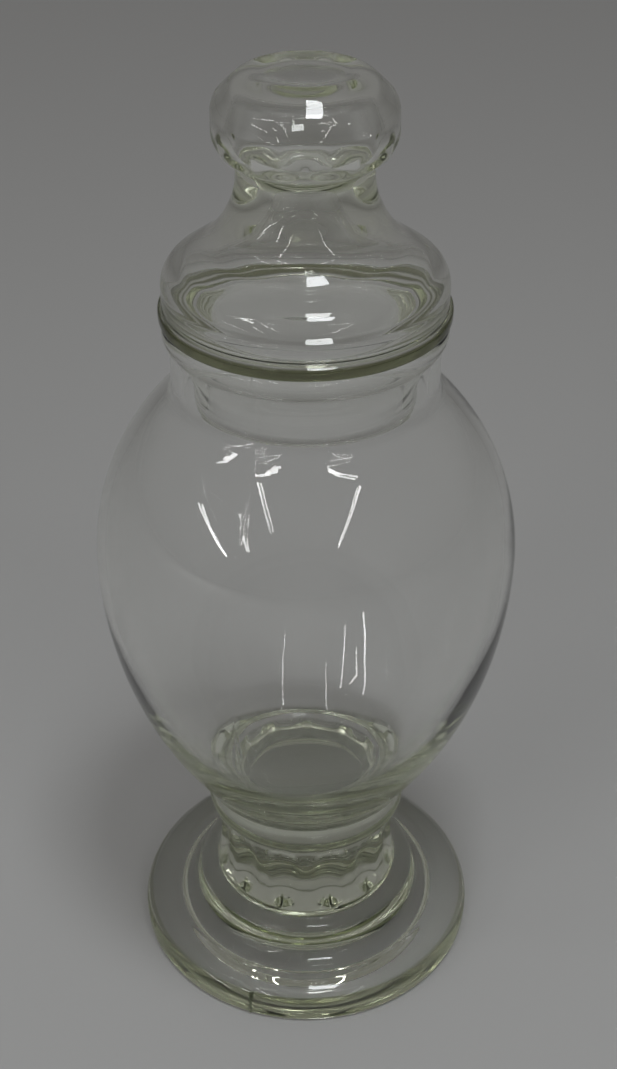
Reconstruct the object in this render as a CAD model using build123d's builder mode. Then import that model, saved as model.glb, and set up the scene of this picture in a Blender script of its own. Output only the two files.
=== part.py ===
"""Lidded glass canister: a footed jar and its drop-in lid with a hollow, panelled knob.

Both pieces are bodies of revolution about Z with pressed panels cut into them.
Units are millimetres. The origin is the centre of the foot's resting face, +Z is up.
"""
import os

from build123d import *

# ---------------------------------------------------------------- driving dimensions
foot_radius = 55.5          # widest point of the foot
foot_edge_height = 4.0      # upright part of the foot's edge
foot_heel_radius = 1.5
foot_ridge_radius = 45.5    # crest of the foot's broad rim
foot_ridge_height = 11.6
rest_ring_inner = 43.5      # the foot stands on the ring outside this radius
step_radius = 36.8          # middle of the inner step of the foot
step_height = 16.0
collar_base_radius = 29.8   # where the collar leaves the foot
collar_base_height = 24.4
collar_waist_radius = 28.6
collar_top_radius = 30.4
collar_top_height = 50.0
waist_radius = 31.5         # under the bowl, above the bead
waist_height = 55.0

bowl_radius = 62.0          # widest point of the bowl
bowl_widest_height = 149.0
shoulder_curve = 72.5       # profile radius above the widest point
flank_curve = 139.5         # profile radius below it
shoulder_end = 202.0        # heights where the two curves end
flank_end = 68.0
bowl_wall = 3.1             # wall at the widest point
inner_flank_curve = 124.9   # tighter than the outside, so the wall thickens downwards
inner_flank_end = 64.0
bowl_floor_height = 59.0    # inside floor of the bowl
floor_flat_radius = 14.0
foot_hollow_height = 8.0    # the shallow hollow under the foot; the collar above it is solid
foot_hollow_radius = 22.0   # flat middle of the hollow
foot_hollow_edge_radius = 38.0
foot_hollow_edge_height = 6.5

neck_radius = 37.4
neck_bottom = 205.6         # where the shoulder has turned upright
neck_top = 218.6
lip_radius = 39.3
lip_step = 0.8              # the lip's parting line stands out this far
mouth_radius = 34.0
mouth_edge_radius = 1.2
mouth_bottom = 207.7        # where the inside of the neck starts to widen
jar_height = 225.5          # top of the lip, where the lid's flange rests

skirt_radius = 31.1         # the lid's skirt hangs inside the mouth
skirt_inner = 27.3
skirt_bottom = 202.0
flange_radius = 40.0
flange_top = 229.1
dome_radius = 38.9
dome_inner_radius = 36.5
lid_neck_radius = 17.8
lid_neck_height = 261.6
lid_passage_radius = 7.3    # narrow hollow of the lid's neck
knob_root_radius = 18.4     # crease under the knob
knob_root_height = 269.0
knob_radius = 24.1
knob_dish_height = 291.0    # the knob's top is dished
knob_crest_height = 293.042 # meeting of the slopes of crown and dish, before it is rounded to 292.0
knob_hollow_radius = 19.6
knob_ceiling_height = 287.0

panels = 12                 # pressed panels, the same number on collar and knob
first_panel = -90 + 180 / panels
collar_panel_radius = 14.0  # roundness of each collar panel
collar_panel_depth = 1.5
collar_panel_middle = 37.0  # height of the middle of a collar panel
collar_panel_length = 9.0   # straight part of a panel, between its rounded ends
knob_panel_radius = 14.0
knob_panel_height = 271.1   # the panels are pressed into the knob's lower half
knob_panel_least = 22.5     # least distance of a knob panel from the axis


def curve_radius_at(widest, curve, height):
    """Radius of a bowl profile arc that is upright at the bowl's widest height."""
    rise = height - bowl_widest_height
    return widest - curve + (curve**2 - rise**2) ** 0.5


# ---------------------------------------------------------------- jar: foot, collar, bowl and neck
with BuildPart() as jar:
    with BuildSketch(Plane.XZ):
        with BuildLine():
            # foot: resting ring, upright edge, broad rim, inner step
            rest_ring = Line((rest_ring_inner, 0), (foot_radius - foot_heel_radius, 0))
            heel = RadiusArc(rest_ring @ 1, (foot_radius, foot_heel_radius), -foot_heel_radius)
            edge = Line(heel @ 1, (foot_radius, foot_edge_height))
            rim = EllipticalCenterArc(
                (foot_ridge_radius, foot_edge_height),
                foot_radius - foot_ridge_radius,
                foot_ridge_height - foot_edge_height,
                arc_size=90,
            )
            trough = ThreePointArc(rim @ 1, (43.0, 10.9), (40.6, 11.3))
            step_foot = ThreePointArc(trough @ 1, (38.1, 13.0), (step_radius, step_height))
            step_top = ThreePointArc(step_foot @ 1, (35.6, 19.5), (32.6, 21.2))
            collar_root = ThreePointArc(step_top @ 1, (30.5, 22.3), (collar_base_radius, collar_base_height))

            # collar: a spool, closed at its top by a bead
            collar_middle = (collar_base_height + collar_top_height) / 2
            collar = ThreePointArc(
                collar_root @ 1,
                (collar_waist_radius, collar_middle),
                (collar_top_radius, collar_top_height),
            )
            bead = ThreePointArc(collar @ 1, (32.1, 52.4), (waist_radius, waist_height))

            # outside of the bowl and neck
            flank_start = (curve_radius_at(bowl_radius, flank_curve, flank_end), flank_end)
            shoulder_stop = (curve_radius_at(bowl_radius, shoulder_curve, shoulder_end), shoulder_end)
            widest = (bowl_radius, bowl_widest_height)
            bowl_root = ThreePointArc(bead @ 1, (32.9, 61.0), flank_start)
            flank = RadiusArc(flank_start, widest, -flank_curve)
            shoulder = RadiusArc(widest, shoulder_stop, -shoulder_curve)
            neck_root = TangentArc(shoulder @ 1, (neck_radius, neck_bottom), tangent=shoulder % 1)
            neck = Line(neck_root @ 1, (neck_radius, neck_top))
            parting = Line(neck @ 1, (neck_radius + lip_step, neck_top + lip_step))
            lip = ThreePointArc(parting @ 1, (lip_radius, 222.4), (38.0, jar_height))
            rim_top = Line(lip @ 1, (mouth_radius + mouth_edge_radius, jar_height))
            mouth_edge = RadiusArc(
                rim_top @ 1, (mouth_radius, jar_height - mouth_edge_radius), -mouth_edge_radius
            )

            # inside of the neck and bowl, thicker towards the floor
            inner_widest = (bowl_radius - bowl_wall, bowl_widest_height)
            inner_shoulder_curve = shoulder_curve - bowl_wall
            inner_shoulder_end = shoulder_end - bowl_wall
            inner_shoulder_start = (
                curve_radius_at(inner_widest[0], inner_shoulder_curve, inner_shoulder_end),
                inner_shoulder_end,
            )
            inner_flank_stop = (
                curve_radius_at(inner_widest[0], inner_flank_curve, inner_flank_end),
                inner_flank_end,
            )
            mouth = Line(mouth_edge @ 1, (mouth_radius, mouth_bottom))
            mouth_root = TangentArc(mouth @ 1, inner_shoulder_start, tangent=mouth % 1)
            inner_shoulder = RadiusArc(inner_shoulder_start, inner_widest, inner_shoulder_curve)
            inner_flank = RadiusArc(inner_widest, inner_flank_stop, inner_flank_curve)
            floor_round = TangentArc(
                inner_flank @ 1, (floor_flat_radius, bowl_floor_height), tangent=inner_flank % 1
            )
            bowl_floor = Line(floor_round @ 1, (0, bowl_floor_height))

            # hollow of the foot, open below
            core = Line(bowl_floor @ 1, (0, foot_hollow_height))
            hollow_top = Line(core @ 1, (foot_hollow_radius, foot_hollow_height))
            hollow_roof = Line(hollow_top @ 1, (foot_hollow_edge_radius, foot_hollow_edge_height))
            hollow_edge = ThreePointArc(hollow_roof @ 1, (42.0, 4.4), rest_ring @ 0)
        make_face()
    revolve(axis=Axis.Z)

    # pressed panels round the collar: shallow upright flutes with rounded ends
    panel_centre = collar_waist_radius + collar_panel_radius - collar_panel_depth
    with Locations((0, 0, collar_panel_middle)):
        with PolarLocations(panel_centre, panels, start_angle=first_panel):
            Cylinder(collar_panel_radius, collar_panel_length, mode=Mode.SUBTRACT)
    for end in (-1, 1):
        with Locations((0, 0, collar_panel_middle + end * collar_panel_length / 2)):
            with PolarLocations(panel_centre, panels, start_angle=first_panel):
                Sphere(collar_panel_radius, mode=Mode.SUBTRACT)

jar.part.label = "jar"


# ---------------------------------------------------------------- lid: knob, dome, flange and skirt
# corners of the lid's outline as (radius, height, rounding), from the knob's ceiling down inside the lid
inside_corners = [
    (knob_hollow_radius, knob_ceiling_height, 9),
    (knob_hollow_radius, 273, 8),
    (lid_passage_radius, 265.5, 5),
    (8.5, 256, 16),
    (22, 244.8, 30),
    (32, 238.8, 14),
    (dome_inner_radius, 233.6, 2.5),
    (35.4, 229, 4.5),
    (skirt_inner, 223, 9),
]
# and up outside it to the dished top of the knob
outside_corners = [
    (skirt_inner, skirt_bottom, 1.88),
    (skirt_radius, skirt_bottom, 1.88),
    (skirt_radius, jar_height, 1.2),
    (flange_radius, jar_height, 0.8),
    (flange_radius, flange_top, 0.9),
    (dome_radius, flange_top, 0),
    (dome_radius, 239, 8),
    (23.6, 249.4, 24),
    (lid_neck_radius, lid_neck_height, 20),
    (knob_root_radius, knob_root_height, 0.8),
    (knob_radius, 271.5, 7),
    (knob_radius, 284.8, 8),
    (15, knob_crest_height, 7),
    (9.5, knob_dish_height, 7),
]

with BuildPart() as lid:
    with BuildSketch(Plane.XZ):
        with BuildLine():
            corners = inside_corners + outside_corners
            outline = FilletPolyline(
                (0, knob_ceiling_height),
                *[(radius, height) for radius, height, rounding in corners],
                (0, knob_dish_height),
                radius=[rounding for radius, height, rounding in corners],
            )
            Line(outline @ 1, outline @ 0)
        make_face()
    revolve(axis=Axis.Z)

    # panels pressed into the lower half of the knob
    with Locations((0, 0, knob_panel_height)):
        with PolarLocations(knob_panel_least + knob_panel_radius, panels, start_angle=first_panel):
            Sphere(knob_panel_radius, mode=Mode.SUBTRACT)

lid.part.label = "lid"


# ---------------------------------------------------------------- files
os.makedirs("parts", exist_ok=True)
export_step(jar.part, "parts/jar.step")
export_step(lid.part, "parts/lid.step")
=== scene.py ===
"""Looks of the lidded glass canister: clear pressed glass on a pale floor in soft studio light.

Jar and lid are each one closed surface of revolution with pressed panels, mould seams and the
slow unevenness of blown glass. Outlines are in millimetres, as (radius, height) from the foot's
resting face, and are scaled to metres by the height of the jar in the frame.
"""
from math import atan2, ceil, cos, hypot, pi, radians, sin, sqrt, tan, tau

import bpy
import numpy as np
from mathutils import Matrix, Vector


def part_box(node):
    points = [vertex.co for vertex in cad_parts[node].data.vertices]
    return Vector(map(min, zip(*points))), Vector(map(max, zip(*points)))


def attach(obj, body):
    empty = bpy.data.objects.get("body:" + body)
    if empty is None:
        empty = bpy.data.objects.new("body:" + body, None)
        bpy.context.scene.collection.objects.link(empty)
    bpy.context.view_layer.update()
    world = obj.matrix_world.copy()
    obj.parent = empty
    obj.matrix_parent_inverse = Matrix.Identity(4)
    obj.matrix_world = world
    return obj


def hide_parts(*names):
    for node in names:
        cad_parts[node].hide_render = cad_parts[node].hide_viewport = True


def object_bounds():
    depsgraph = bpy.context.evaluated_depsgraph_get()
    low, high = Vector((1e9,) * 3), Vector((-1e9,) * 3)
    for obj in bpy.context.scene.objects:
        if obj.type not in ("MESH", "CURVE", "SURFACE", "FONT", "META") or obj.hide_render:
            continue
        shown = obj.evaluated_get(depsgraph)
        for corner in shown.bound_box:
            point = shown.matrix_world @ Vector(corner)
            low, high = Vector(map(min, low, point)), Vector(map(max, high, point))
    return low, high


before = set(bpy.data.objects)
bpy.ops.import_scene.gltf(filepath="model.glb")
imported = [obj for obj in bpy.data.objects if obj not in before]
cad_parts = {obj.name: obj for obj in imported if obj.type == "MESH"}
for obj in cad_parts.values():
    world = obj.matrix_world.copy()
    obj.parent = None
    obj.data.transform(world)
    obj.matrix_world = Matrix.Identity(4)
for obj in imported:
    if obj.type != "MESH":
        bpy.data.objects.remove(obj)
cad_low, cad_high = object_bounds()

# ---------------------------------------------------------------- sizes, in millimetres
JAR_HEIGHT = 225.5          # top of the lip, where the lid's flange rests
HOLLOW_RADIUS = 22.0        # flat middle of the shallow hollow under the foot
HOLLOW_HEIGHT = 8.0
REST_RING_INNER = 43.5      # the foot stands on the ring outside this radius
FOOT_RADIUS = 55.5
FOOT_EDGE_HEIGHT = 4.0      # upright part of the foot's edge
FOOT_CREST_RADIUS = 45.5    # crest of the foot's broad rim
FOOT_CREST_HEIGHT = 11.6
COLLAR_BOTTOM = 21.0        # the collar is between these heights
COLLAR_TOP = 53.0
BOWL_FLOOR = 59.0           # inside floor of the bowl
BOWL_RADIUS = 62.0
BOWL_WIDEST = 149.0         # height of the bowl's widest point
BOWL_WALL = 3.1             # wall at the widest point
SHOULDER_CURVE = 72.5       # profile radius above the widest point
FLANK_CURVE = 139.5         # profile radius below it
INNER_FLANK_CURVE = 124.9   # tighter than the outside, so the wall thickens downwards
SHOULDER_END = 202.0        # heights where the curves end
FLANK_END = 68.0
INNER_FLANK_END = 64.0
NECK_RADIUS = 37.4
NECK_TOP = 218.6            # the lip's parting line
MOUTH_RADIUS = 34.0
LID_GAP = 0.12              # air between flange and lip, so that each keeps its own surface

SKIRT_RADIUS = 31.1         # the lid's skirt hangs inside the mouth
SKIRT_INNER = 27.3
SKIRT_BOTTOM = 202.0
FLANGE_RADIUS = 40.0
FLANGE_TOP = 229.1
DOME_RADIUS = 38.9
KNOB_RADIUS = 24.1
KNOB_DISH = 291.0           # height of the dished top
KNOB_HOLLOW_RADIUS = 19.6
KNOB_CEILING = 287.0

PANELS = 12                 # pressed panels, the same number on collar and knob
FIRST_PANEL = radians(-90) + pi / PANELS
PANEL_ROUNDNESS = 14.0      # radius of the rollers that press the panels
COLLAR_PANEL_AXIS = 41.1    # distance of those rollers from the jar's axis
COLLAR_PANEL_HEIGHT = 37.0
COLLAR_PANEL_LENGTH = 9.0   # straight part of a panel, between its rounded ends
KNOB_PANEL_AXIS = 36.5
KNOB_PANEL_HEIGHT = 271.1
COLLAR_PANEL_BORDER = 0.5   # rounding where a panel meets the round surface
KNOB_PANEL_BORDER = 0.8

SEAM = radians(-109)        # one mould seam; the other is opposite
RING_SEAM = radians(-111)   # the mould ring that shapes the lip is turned a little
SEAM_HEIGHT = 0.13
SEAM_WIDTH = 0.4
FOOT_SEAM = 3               # added on the foot, as a multiple of the seam's height
JAR_WAVES = 0.22            # size of the slow unevenness inside each piece
LID_WAVES = 0.16
JAR_PHASE = 0.6             # where the waves start
LID_PHASE = 2.3
RIPPLE = 0.03               # height of the ripples in the polish

STEP = 0.2                  # spacing of the fine outline
CORNER = 0.4                # corners are rounded over about this length
COLUMNS = 216               # columns of faces round each piece, before the seams' own
SEAM_COLUMNS = 17           # columns across a seam
SEAM_SPREAD = radians(1.6)  # their spread to each side of it

unit = (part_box("jar")[1].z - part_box("jar")[0].z) / JAR_HEIGHT      # metres per millimetre of outline


# ---------------------------------------------------------------- outlines
class Outline:
    """A line of points (radius, height), drawn as straight runs and arcs."""

    def __init__(self, radius, height):
        self.points = [(radius, height)]

    def line(self, radius, height):
        """A straight run."""
        start_radius, start_height = self.points[-1]
        steps = max(1, ceil(hypot(radius - start_radius, height - start_height) / STEP))
        for k in range(1, steps + 1):
            self.points.append(
                (
                    start_radius + (radius - start_radius) * k / steps,
                    start_height + (height - start_height) * k / steps,
                )
            )
        return self

    def arc(self, via, end):
        """An arc through via to end."""
        a, b, c = complex(*self.points[-1]), complex(*via), complex(*end)
        w = (c - a) / (b - a)
        centre = a + (b - a) * (w - abs(w) ** 2) / (2j * w.imag)
        turn_to_via, turn = [np.angle((p - centre) / (a - centre)) % tau for p in (b, c)]
        if turn_to_via > turn:
            turn -= tau
        steps = max(2, ceil(abs(turn) * abs(a - centre) / STEP))
        for k in range(1, steps + 1):
            p = centre + (a - centre) * np.exp(1j * turn * k / steps)
            self.points.append((p.real, p.imag))
        return self

    def bow(self, radius, end):
        """An arc of that radius, bulging to the right of its way, or to the left if it is negative."""
        a, c = complex(*self.points[-1]), complex(*end)
        half = abs(c - a) / 2
        rise = abs(radius) - sqrt(radius**2 - half**2)
        side = -1j if radius > 0 else 1j
        via = (a + c) / 2 + side * rise * (c - a) / abs(c - a)
        return self.arc((via.real, via.imag), end)

    def quarter_ellipse(self, radius, height, steps=60):
        """A quarter of an ellipse, upright where it starts and level where it ends."""
        start_radius, start_height = self.points[-1]
        for k in range(1, steps + 1):
            angle = pi / 2 * k / steps
            self.points.append(
                (
                    radius + (start_radius - radius) * cos(angle),
                    start_height + (height - start_height) * sin(angle),
                )
            )
        return self


def bowl_radius_at(widest, curve, height):
    """Radius of a bowl profile arc that is upright at the bowl's widest height."""
    return widest - curve + sqrt(curve**2 - (height - BOWL_WIDEST) ** 2)


def jar_outline():
    """From the axis in the foot's hollow, out and up over the jar, to the axis at the bowl's floor."""
    line = Outline(0, HOLLOW_HEIGHT)
    # hollow of the foot, resting ring, broad rim
    line.line(HOLLOW_RADIUS, HOLLOW_HEIGHT).line(38, 6.5).arc((42.0, 4.4), (REST_RING_INNER, 0))
    line.line(54, 0).arc((55.06, 0.44), (FOOT_RADIUS, 1.5)).line(FOOT_RADIUS, FOOT_EDGE_HEIGHT)
    line.quarter_ellipse(FOOT_CREST_RADIUS, FOOT_CREST_HEIGHT)
    # inner step, collar and bead
    line.arc((43, 10.9), (40.6, 11.3)).arc((38.1, 13), (36.8, 16))
    line.arc((35.6, 19.5), (32.6, 21.2)).arc((30.5, 22.3), (29.8, 24.4))
    line.arc((28.6, 37.2), (30.4, 50)).arc((32.1, 52.4), (31.5, 55))
    # outside of the bowl and neck, lip
    line.arc((32.9, 61), (bowl_radius_at(BOWL_RADIUS, FLANK_CURVE, FLANK_END), FLANK_END))
    line.bow(FLANK_CURVE, (BOWL_RADIUS, BOWL_WIDEST))
    line.bow(SHOULDER_CURVE, (bowl_radius_at(BOWL_RADIUS, SHOULDER_CURVE, SHOULDER_END), SHOULDER_END))
    line.arc((37.8, 203.65), (NECK_RADIUS, 205.6)).line(NECK_RADIUS, NECK_TOP).line(38.2, 219.4)
    line.arc((39.3, 222.4), (38, JAR_HEIGHT - LID_GAP)).line(35.2, JAR_HEIGHT - LID_GAP)
    line.arc((34.35, 225.03), (MOUTH_RADIUS, 224.2))
    # inside of the neck and bowl
    inner_widest = BOWL_RADIUS - BOWL_WALL
    inner_shoulder = SHOULDER_CURVE - BOWL_WALL
    inner_shoulder_end = SHOULDER_END - BOWL_WALL
    shoulder_stop = (bowl_radius_at(inner_widest, inner_shoulder, inner_shoulder_end), inner_shoulder_end)
    line.line(MOUTH_RADIUS, 207.7).arc((34.93, 202.82), shoulder_stop)
    line.bow(-inner_shoulder, (inner_widest, BOWL_WIDEST))
    flank_stop = (bowl_radius_at(inner_widest, INNER_FLANK_CURVE, INNER_FLANK_END), INNER_FLANK_END)
    line.bow(-INNER_FLANK_CURVE, flank_stop)
    line.arc((20.26, 60.3), (14, BOWL_FLOOR)).line(0, BOWL_FLOOR)
    return line.points


def rounded(corners):
    """A line through corners (radius, height, rounding): straight runs joined by arcs that touch both."""
    line = Outline(*corners[0][:2])
    for before, (radius, height, rounding), after in zip(corners, corners[1:], corners[2:]):
        corner = complex(radius, height)
        back, ahead = complex(*before[:2]) - corner, complex(*after[:2]) - corner
        back, ahead = back / abs(back), ahead / abs(ahead)
        half = abs(np.angle(ahead / back)) / 2
        reach = rounding / tan(half)
        start, end = corner + back * reach, corner + ahead * reach
        middle = back + ahead
        via = corner + middle / abs(middle) * (rounding / sin(half) - rounding)
        line.line(start.real, start.imag).arc((via.real, via.imag), (end.real, end.imag))
    return line.line(*corners[-1][:2]).points


def lid_outline():
    """From the axis at the knob's ceiling, down inside the lid, and up outside to the axis at its top."""
    inside = [
        (0, KNOB_CEILING, 0),
        (KNOB_HOLLOW_RADIUS, KNOB_CEILING, 9),
        (KNOB_HOLLOW_RADIUS, 273.0, 8),
        (7.3, 265.5, 5),
        (8.5, 256.0, 16),
        (22.0, 244.8, 30),
        (32.0, 238.8, 14),
        (36.5, 233.6, 2.5),
        (35.4, 229.0, 4.5),
        (SKIRT_INNER, 223.0, 9),
    ]
    outside = [
        (SKIRT_INNER, SKIRT_BOTTOM, 1.88),
        (SKIRT_RADIUS, SKIRT_BOTTOM, 1.88),
        (SKIRT_RADIUS, JAR_HEIGHT, 1.2),
        (FLANGE_RADIUS, JAR_HEIGHT, 0.8),
        (FLANGE_RADIUS, FLANGE_TOP, 0.9),
        (DOME_RADIUS, FLANGE_TOP, 0.3),
        (DOME_RADIUS, 239.0, 8),
        (23.6, 249.4, 24),
        (17.8, 261.6, 20),
        (18.4, 269.0, 0.8),
        (KNOB_RADIUS, 271.5, 7),
        (KNOB_RADIUS, 284.8, 8),
        (15.0, 293.042, 7),
        (9.5, KNOB_DISH, 7),
        (0, KNOB_DISH, 0),
    ]
    return rounded(inside + outside)


def softened(points, reach):
    """The same line with its corners rounded over about reach millimetres. Its ends stay on the axis."""
    points = np.array(points)
    along = np.concatenate(([0], np.cumsum(np.hypot(*np.diff(points, axis=0).T))))
    even = np.linspace(0, along[-1], ceil(along[-1] / STEP) + 1)
    line = np.stack([np.interp(even, along, points[:, k]) for k in (0, 1)], axis=1)
    half = ceil(4 * reach / STEP)
    weights = np.exp(-0.5 * (np.arange(-half, half + 1) * STEP / reach) ** 2)
    weights /= weights.sum()
    mirror = np.array((-1, 1))
    padded = np.concatenate((line[half:0:-1] * mirror, line, line[-2 : -half - 2 : -1] * mirror))
    return np.stack([np.convolve(padded[:, k], weights, "valid") for k in (0, 1)], axis=1)


def thinned(line, longest, turn):
    """Fewer points, close together where the line turns.

    A step is at most about longest, and turns by at most about turn. longest is one length, or one
    for each step of the line.
    """
    steps = np.diff(line, axis=0)
    lengths = np.hypot(*steps.T)
    heading = np.unwrap(np.arctan2(steps[:, 1], steps[:, 0]))
    bend = np.abs(np.diff(heading, prepend=heading[0]))
    effort = np.concatenate(([0], np.cumsum(lengths / longest + bend / turn)))
    wanted = np.linspace(0, effort[-1], ceil(effort[-1]) + 1)
    return np.stack([np.interp(wanted, effort, line[:, k]) for k in (0, 1)], axis=1)


# ---------------------------------------------------------------- relief on the surfaces
def smooth_min(a, b, reach):
    """The smaller of the two, with the corner where they meet rounded over reach."""
    h = np.clip(0.5 + (b - a) / (2 * reach), 0, 1)
    return b + (a - b) * h - reach * h * (1 - h)


def ramp(value, start, end):
    """0 at start and before it, 1 at end and past it, and straight between."""
    return np.clip((value - start) / (end - start), 0, 1)


def panel_cut(radius, height, angle, roller_axis, middle_height, straight):
    """The radius left by round-ended upright rollers pressed in at each panel."""
    turn = 2 * pi / PANELS
    across = (angle - FIRST_PANEL + turn / 2) % turn - turn / 2
    past_end = np.maximum(np.abs(height - middle_height) - straight / 2, 0)
    depth_left = PANEL_ROUNDNESS**2 - past_end**2 - (roller_axis * np.sin(across)) ** 2
    cut = roller_axis * np.cos(across) - np.sqrt(np.maximum(depth_left, 0))
    untouched = radius + 10
    return np.where(depth_left > 0, cut, untouched)


def seam_ridge(angle, radius, seam):
    """A thin raised line where the two halves of the mould met."""
    away = np.abs((angle - seam + pi / 2) % pi - pi / 2) * radius
    return SEAM_HEIGHT * np.exp(-((away / SEAM_WIDTH) ** 2))


def slow_waves(angle, along, phase):
    """The slow unevenness of a blown surface, between about -1 and 1."""
    return (
        0.40 * np.sin(2 * angle + 0.031 * along + phase)
        + 0.30 * np.sin(3 * angle - 0.052 * along + 2.1 * phase)
        + 0.20 * np.sin(5 * angle + 0.090 * along + 0.7 * phase)
        + 0.15 * np.sin(1.3 * phase + 0.170 * along)
    )


def jar_relief(radius, height, out, angle):
    """Collar panels, mould seams on foot, neck and lip, and waves inside the bowl."""
    outside = (out[:, :1] > 0) & (radius > 28)
    collar = outside & (height > COLLAR_BOTTOM) & (height < COLLAR_TOP)
    cut = panel_cut(radius, height, angle, COLLAR_PANEL_AXIS, COLLAR_PANEL_HEIGHT, COLLAR_PANEL_LENGTH)
    moved = np.where(collar, smooth_min(radius, cut, COLLAR_PANEL_BORDER), radius)
    # the seam almost fades out on the bowl, and comes back on the foot
    seam = np.where(height > NECK_TOP - 0.2, RING_SEAM, SEAM)
    up_to_neck = np.maximum(ramp(height, 170, 210), 0.1)
    down_to_foot = FOOT_SEAM * ramp(height, 12, 8)
    ridge = (up_to_neck + down_to_foot) * seam_ridge(angle, radius, seam)
    moved = moved + np.where(outside & (height > 0.5), ridge, 0)
    # the waves die away towards the floor and the neck
    inside = (out[:, :1] < 0) & (height > BOWL_FLOOR - 0.5)
    strength = JAR_WAVES * ramp(height, 64, 94) * ramp(height, 205, 185)
    wave = strength * slow_waves(angle, height, JAR_PHASE)
    return moved + np.where(inside, wave * out[:, :1], 0), height + np.where(inside, wave * out[:, 1:], 0)


def lid_relief(radius, height, out, angle):
    """Knob panels outside, and waves inside the dome and knob."""
    knob = (out[:, :1] > 0) & (radius > 17.5) & (height > 266)
    cut = panel_cut(radius, height, angle, KNOB_PANEL_AXIS, KNOB_PANEL_HEIGHT, 0)
    moved = np.where(knob, smooth_min(radius, cut, KNOB_PANEL_BORDER), radius)
    inside = (out[:, :1] < 0) & (radius > 5) & (height > 226) & (height < KNOB_CEILING + 1)
    wave = LID_WAVES * ramp(height, 226, 232) * slow_waves(angle, height, LID_PHASE)
    return moved + np.where(inside, wave * out[:, :1], 0), height + np.where(inside, wave * out[:, 1:], 0)


# ---------------------------------------------------------------- meshes
def column_angles():
    """Angles of the columns: evenly spaced, and closer together across the seams."""
    even = np.arange(COLUMNS) * tau / COLUMNS
    fine = np.linspace(-SEAM_SPREAD, SEAM_SPREAD, SEAM_COLUMNS)
    seams = [seam + half + fine for seam in (SEAM, RING_SEAM) for half in (0, pi)]
    return np.unique(np.round(np.concatenate([even, *seams]) % tau, 6))


def lathed(name, line, relief):
    """A closed mesh turned round the axis. relief(radius, height, out, angle) moves its points."""
    angles = column_angles()
    if (line[:-1, 0] * line[1:, 1] - line[1:, 0] * line[:-1, 1]).sum() < 0:
        line = line[::-1]
    tangent = np.gradient(line, axis=0)
    tangent /= np.hypot(*tangent.T)[:, None]
    out = np.stack([tangent[:, 1], -tangent[:, 0]], axis=1)
    middle = line[1:-1]
    radius, height = relief(middle[:, :1], middle[:, 1:], out[1:-1], angles[None, :])
    x, y = radius * np.cos(angles), radius * np.sin(angles)
    rings = np.stack([x, y, np.broadcast_to(height, x.shape)], axis=2).reshape(-1, 3)
    count, rows = len(angles), len(middle)
    ends = np.array([(0, 0, line[0, 1]), (0, 0, line[-1, 1])])
    first_pole, last_pole = rows * count, rows * count + 1
    faces = []
    for j in range(count):
        k = (j + 1) % count
        faces.append((first_pole, k, j))
        faces.append((last_pole, (rows - 1) * count + j, (rows - 1) * count + k))
        for i in range(rows - 1):
            faces.append((i * count + j, i * count + k, (i + 1) * count + k, (i + 1) * count + j))
    mesh = bpy.data.meshes.new(name)
    mesh.from_pydata((np.concatenate((rings, ends)) * unit).tolist(), [], faces)
    mesh.shade_smooth()
    piece = bpy.data.objects.new(name, mesh)
    bpy.context.scene.collection.objects.link(piece)
    return piece


# ---------------------------------------------------------------- materials
IOR = 1.52
JAR_TINT = (0.80, 0.84, 0.66)
JAR_TINT_DENSITY = 13       # for each metre of glass
LID_TINT = (0.78, 0.83, 0.56)
LID_TINT_DENSITY = 14
# painted edge shade as (lowest, highest, least radius, colour): a dark olive band painted on the foot's rim
# and the flange, standing in for the dark band that refraction of the dim room gives thick glass edges
FOOT_EDGE_SHADE = (0.3, 9.0, 51, (0.66, 0.67, 0.52))
FLANGE_EDGE_SHADE = (225.3, 229.3, 39, (0.10, 0.11, 0.040))
EDGE_SHADE_FADE = 0.5             # the painted shade fades out over this length
# painted shade along the mould seam where it crosses the foot's painted edge shade
SEAM_SHADE_COLOUR = (0.12, 0.14, 0.08)
SEAM_SHADE_CORE = 0.4           # half the width of the full painted-shade stroke along a seam
SEAM_SHADE_REACH = 1.2          # and of the whole stroke, with its soft sides
RIPPLE_SCALE = 55           # noise scales, for each metre
MARKS_SCALE = 140
MARKS_START = 0.45          # noise values where a mark starts and where it is strongest
MARKS_FULL = 0.75
MARKS_ROUGHNESS = 0.05
FLOOR_COLOUR = (0.62, 0.62, 0.615)
FLOOR_ROUGHNESS = 0.75


class NodeMaker:
    """Makes the nodes of one material. A value is a number, a colour, or the output of another node."""

    def __init__(self, material):
        material.use_nodes = True
        self.nodes, self.links = material.node_tree.nodes, material.node_tree.links

    def give(self, socket, value):
        """Sets the socket, or links the other node's output to it."""
        if isinstance(value, bpy.types.NodeSocket):
            self.links.new(value, socket)
        elif isinstance(value, tuple):
            socket.default_value = (*value, 1)
        else:
            socket.default_value = value

    def compute(self, operation, *values):
        """One step of arithmetic."""
        node = self.nodes.new("ShaderNodeMath")
        node.operation = operation
        for socket, value in zip(node.inputs, values):
            self.give(socket, value)
        return node.outputs[0]

    def step(self, value, start, end):
        """0 before start and 1 past end, with a smooth step between. start may be the larger."""
        node = self.nodes.new("ShaderNodeMapRange")
        node.interpolation_type = "SMOOTHSTEP"
        for socket, given in (("Value", value), ("From Min", start), ("From Max", end)):
            self.give(node.inputs[socket], given)
        return node.outputs["Result"]

    def mix(self, factor, first, second):
        """The first colour where factor is 0, and the second where it is 1."""
        node = self.nodes.new("ShaderNodeMix")
        node.data_type = "RGBA"
        for socket, given in (("Factor", factor), ("A", first), ("B", second)):
            self.give(node.inputs[socket], given)
        return node.outputs["Result"]

    def noise(self, vector, scale, detail):
        """Smooth noise at a place, between 0 and 1."""
        node = self.nodes.new("ShaderNodeTexNoise")
        for socket, given in (("Vector", vector), ("Scale", scale), ("Detail", detail)):
            self.give(node.inputs[socket], given)
        return node.outputs["Fac"]


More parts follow.
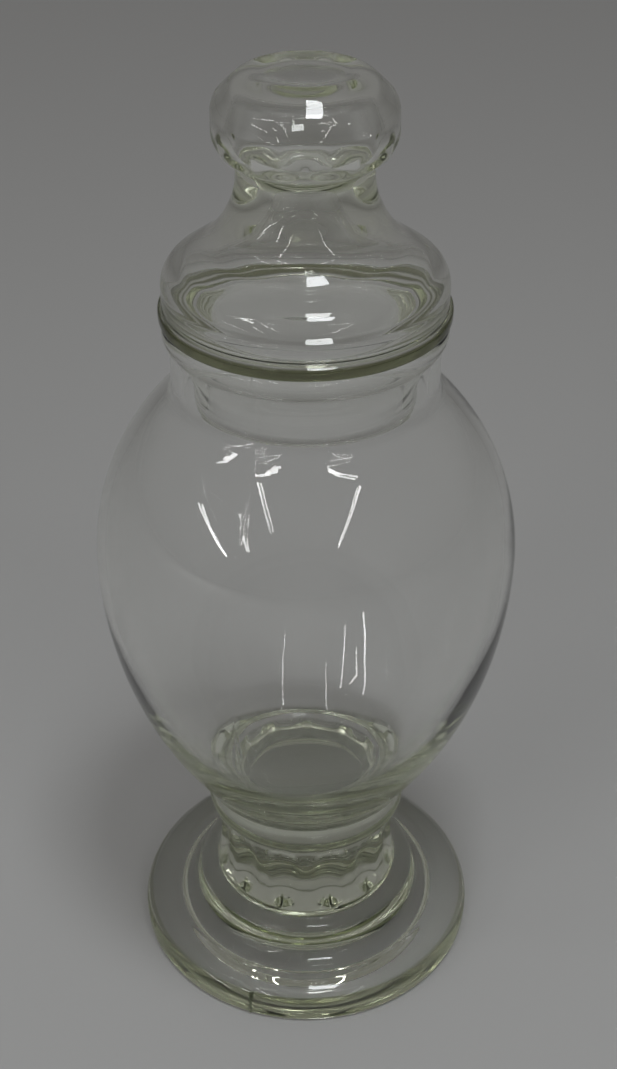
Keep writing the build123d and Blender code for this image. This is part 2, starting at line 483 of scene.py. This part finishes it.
def glass(name, colour, density, edge, seam=None):
    """Clear soda-lime glass, olive where it is thick, with a slightly uneven polish.

    edge paints dark olive shade on a band of the glass, standing in for the dark band that refraction of the
    dim room gives thick edges; seam is the angle of a mould seam that crosses it, along which a darker
    stroke of painted shade is laid.
    """
    material = bpy.data.materials.new(name)
    make = NodeMaker(material)
    nodes, links = make.nodes, make.links
    shader = nodes["Principled BSDF"]
    shader.inputs["Transmission Weight"].default_value = 1.0
    shader.inputs["IOR"].default_value = IOR
    tint = nodes.new("ShaderNodeVolumeAbsorption")
    tint.inputs["Color"].default_value = (*colour, 1)
    tint.inputs["Density"].default_value = density
    links.new(tint.outputs["Volume"], nodes["Material Output"].inputs["Volume"])

    # painted edge shade: dark olive colour on a band of heights, outside a radius, standing in for the dark
    # band that refraction gives thick glass edges
    edge_low, edge_high, edge_radius, edge_shade_colour = edge
    place = nodes.new("ShaderNodeTexCoord").outputs["Object"]
    parts = nodes.new("ShaderNodeSeparateXYZ")
    links.new(place, parts.inputs["Vector"])
    x, y, z = parts.outputs
    squares = make.compute("ADD", make.compute("MULTIPLY", x, x), make.compute("MULTIPLY", y, y))
    radius = make.compute("SQRT", squares)
    soft = EDGE_SHADE_FADE * unit
    above = make.step(z, edge_low * unit, edge_low * unit + soft)
    below = make.step(z, edge_high * unit, edge_high * unit - soft)
    outside = make.step(radius, edge_radius * unit - soft, edge_radius * unit)
    on_edge_shade = make.compute("MULTIPLY", make.compute("MULTIPLY", above, below), outside)
    paint = make.mix(on_edge_shade, (1, 1, 1), edge_shade_colour)
    if seam is not None:
        # painted shade: a darker stroke along the mould seam where it crosses the edge, standing in for the
        # dark line the seam's ridge shows
        across = make.compute(
            "SUBTRACT", make.compute("MULTIPLY", x, sin(seam)), make.compute("MULTIPLY", y, cos(seam))
        )
        on_seam_shade = make.step(make.compute("ABSOLUTE", across), SEAM_SHADE_REACH * unit, SEAM_SHADE_CORE * unit)
        paint = make.mix(make.compute("MULTIPLY", on_edge_shade, on_seam_shade), paint, SEAM_SHADE_COLOUR)
    links.new(paint, shader.inputs["Base Color"])

    # ripples one to two centimetres apart, and finer marks from handling
    bump = nodes.new("ShaderNodeBump")
    bump.inputs["Strength"].default_value = 1.0
    bump.inputs["Distance"].default_value = RIPPLE * unit
    links.new(make.noise(place, RIPPLE_SCALE, 1.0), bump.inputs["Height"])
    links.new(bump.outputs["Normal"], shader.inputs["Normal"])
    polish = nodes.new("ShaderNodeMapRange")
    polish.inputs["From Min"].default_value = MARKS_START
    polish.inputs["From Max"].default_value = MARKS_FULL
    polish.inputs["To Min"].default_value = 0.0
    polish.inputs["To Max"].default_value = MARKS_ROUGHNESS
    links.new(make.noise(place, MARKS_SCALE, 4.0), polish.inputs["Value"])
    links.new(polish.outputs["Result"], shader.inputs["Roughness"])
    return material


def floor_paint():
    """Matt, nearly neutral pale paint."""
    material = bpy.data.materials.new("pale_floor")
    material.use_nodes = True
    shader = material.node_tree.nodes["Principled BSDF"]
    shader.inputs["Base Color"].default_value = (*FLOOR_COLOUR, 1)
    shader.inputs["Roughness"].default_value = FLOOR_ROUGHNESS
    return material


# ---------------------------------------------------------------- pieces
jar_line = softened(jar_outline(), CORNER)
# the collar's panels need short steps, and the bowl and foot don't
beside_collar = (jar_line[1:, 1] > COLLAR_BOTTOM - 1) & (jar_line[1:, 1] < COLLAR_TOP + 1)
jar_line = thinned(jar_line, np.where(beside_collar, 1.8, 4.5), radians(6))
jar = lathed("glass_jar", jar_line, jar_relief)
jar.data.materials.append(glass("jar_glass_look", JAR_TINT, JAR_TINT_DENSITY, FOOT_EDGE_SHADE, SEAM))
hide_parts("jar")
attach(jar, "jar")

lid_line = thinned(softened(lid_outline(), CORNER), 2.2, radians(5))
lid = lathed("glass_lid", lid_line, lid_relief)
lid.data.materials.append(glass("lid_glass_look", LID_TINT, LID_TINT_DENSITY, FLANGE_EDGE_SHADE))
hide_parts("lid")
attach(lid, "lid")

# ---------------------------------------------------------------- floor
FLOOR_HALF = 20.0           # metres, far enough that its edge is never seen
floor_mesh = bpy.data.meshes.new("floor")
corners = [(-1, -1), (1, -1), (1, 1), (-1, 1)]
floor_mesh.from_pydata([(FLOOR_HALF * x, FLOOR_HALF * y, cad_low.z) for x, y in corners], [], [(0, 1, 2, 3)])
floor_mesh.materials.append(floor_paint())
floor = bpy.data.objects.new("floor", floor_mesh)
bpy.context.scene.collection.objects.link(floor)

# ---------------------------------------------------------------- light
BOWL_MIDDLE = 0.2           # metres above the floor
ROOM = 0.95                 # metres from there up to the lights
PANEL_SIZE = (0.22, 0.20)   # metres
PANEL_POWER = 2.1           # watts
PANEL_COLOUR = (0.95, 0.98, 1.0)
STRIP_POWER = 56            # watts for each square metre of a strip
HORIZON = (0.125, 0.123, 0.120)
WALL = (0.180, 0.178, 0.175)
CEILING = (0.215, 0.212, 0.208)


def overhead(x, y):
    """A place on the ceiling, in ceiling heights from the axis."""
    return Vector((ROOM * x, ROOM * y, BOWL_MIDDLE + ROOM))


def ceiling_light(name, place, size, power, turn=0.0, colour=(1, 1, 1)):
    """A rectangular light that faces straight down, with its length turned from the X axis."""
    lamp = bpy.data.lights.new(name, "AREA")
    lamp.shape = "RECTANGLE"
    lamp.size, lamp.size_y = size
    lamp.energy = power
    lamp.color = colour
    light = bpy.data.objects.new(name, lamp)
    light.location = place
    light.rotation_euler = (0, 0, turn)
    light.visible_camera = False
    bpy.context.scene.collection.objects.link(light)


ceiling_light("panel", overhead(0.13, -0.27), PANEL_SIZE, PANEL_POWER, colour=PANEL_COLOUR)

# strips as (start, end, width), the ends in ceiling heights from the axis, the width in metres
STRIPS = [
    ((-0.60, -0.75), (-0.68, -1.80), 0.020),
    ((0.72, -0.78), (0.80, -2.40), 0.022),
    ((-0.61, -0.66), (-0.32, -0.66), 0.016),
    ((0.27, -0.67), (0.65, -0.67), 0.016),
    ((-1.15, -0.30), (-0.65, -0.48), 0.016),
    ((-1.15, -1.25), (-1.70, -2.70), 0.040),
    ((-2.15, -0.78), (-2.45, -1.60), 0.060),
    ((-2.45, -1.60), (-3.20, -3.30), 0.100),
]
for number, (start, end, width) in enumerate(STRIPS):
    run = overhead(*end) - overhead(*start)
    middle = (overhead(*start) + overhead(*end)) / 2
    power = STRIP_POWER * run.length * width
    ceiling_light(f"strip_{number}", middle, (run.length, width), power, atan2(run.y, run.x))


def room():
    """An even grey room, darkest at the horizon and lightest overhead."""
    world = bpy.data.worlds.new("room")
    world.use_nodes = True
    nodes, links = world.node_tree.nodes, world.node_tree.links
    place = nodes.new("ShaderNodeTexCoord")
    parts = nodes.new("ShaderNodeSeparateXYZ")
    shade = nodes.new("ShaderNodeValToRGB")
    horizon, ceiling = shade.color_ramp.elements
    horizon.position = 0.02
    horizon.color = (*HORIZON, 1)
    ceiling.color = (*CEILING, 1)
    shade.color_ramp.elements.new(0.25).color = (*WALL, 1)
    links.new(place.outputs["Generated"], parts.inputs["Vector"])
    links.new(parts.outputs["Z"], shade.inputs["Fac"])
    links.new(shade.outputs["Color"], nodes["Background"].inputs["Color"])
    nodes["Background"].inputs["Strength"].default_value = 1.0
    return world


bpy.context.scene.world = room()

# ---------------------------------------------------------------- camera
CAMERA_PLACE = (0.0008, -0.3820, 0.4128)
CAMERA_DIP = 34.26          # degrees below level
LENS = 52.33                # focal length on a 36 mm wide sensor

camera_data = bpy.data.cameras.new("camera")
camera_data.lens = LENS
camera_data.sensor_width = 36.0
camera_data.clip_start = 0.01
camera = bpy.data.objects.new("camera", camera_data)
camera.location = CAMERA_PLACE
camera.rotation_euler = (radians(90 - CAMERA_DIP), 0, 0)
bpy.context.scene.collection.objects.link(camera)
bpy.context.scene.camera = camera

# glass within glass: light passes many surfaces
cycles = bpy.context.scene.cycles
cycles.max_bounces = 32
cycles.transmission_bounces = 32
cycles.glossy_bounces = 16
cycles.sample_clamp_indirect = 0
bpy.context.scene.view_settings.view_transform = "Standard"
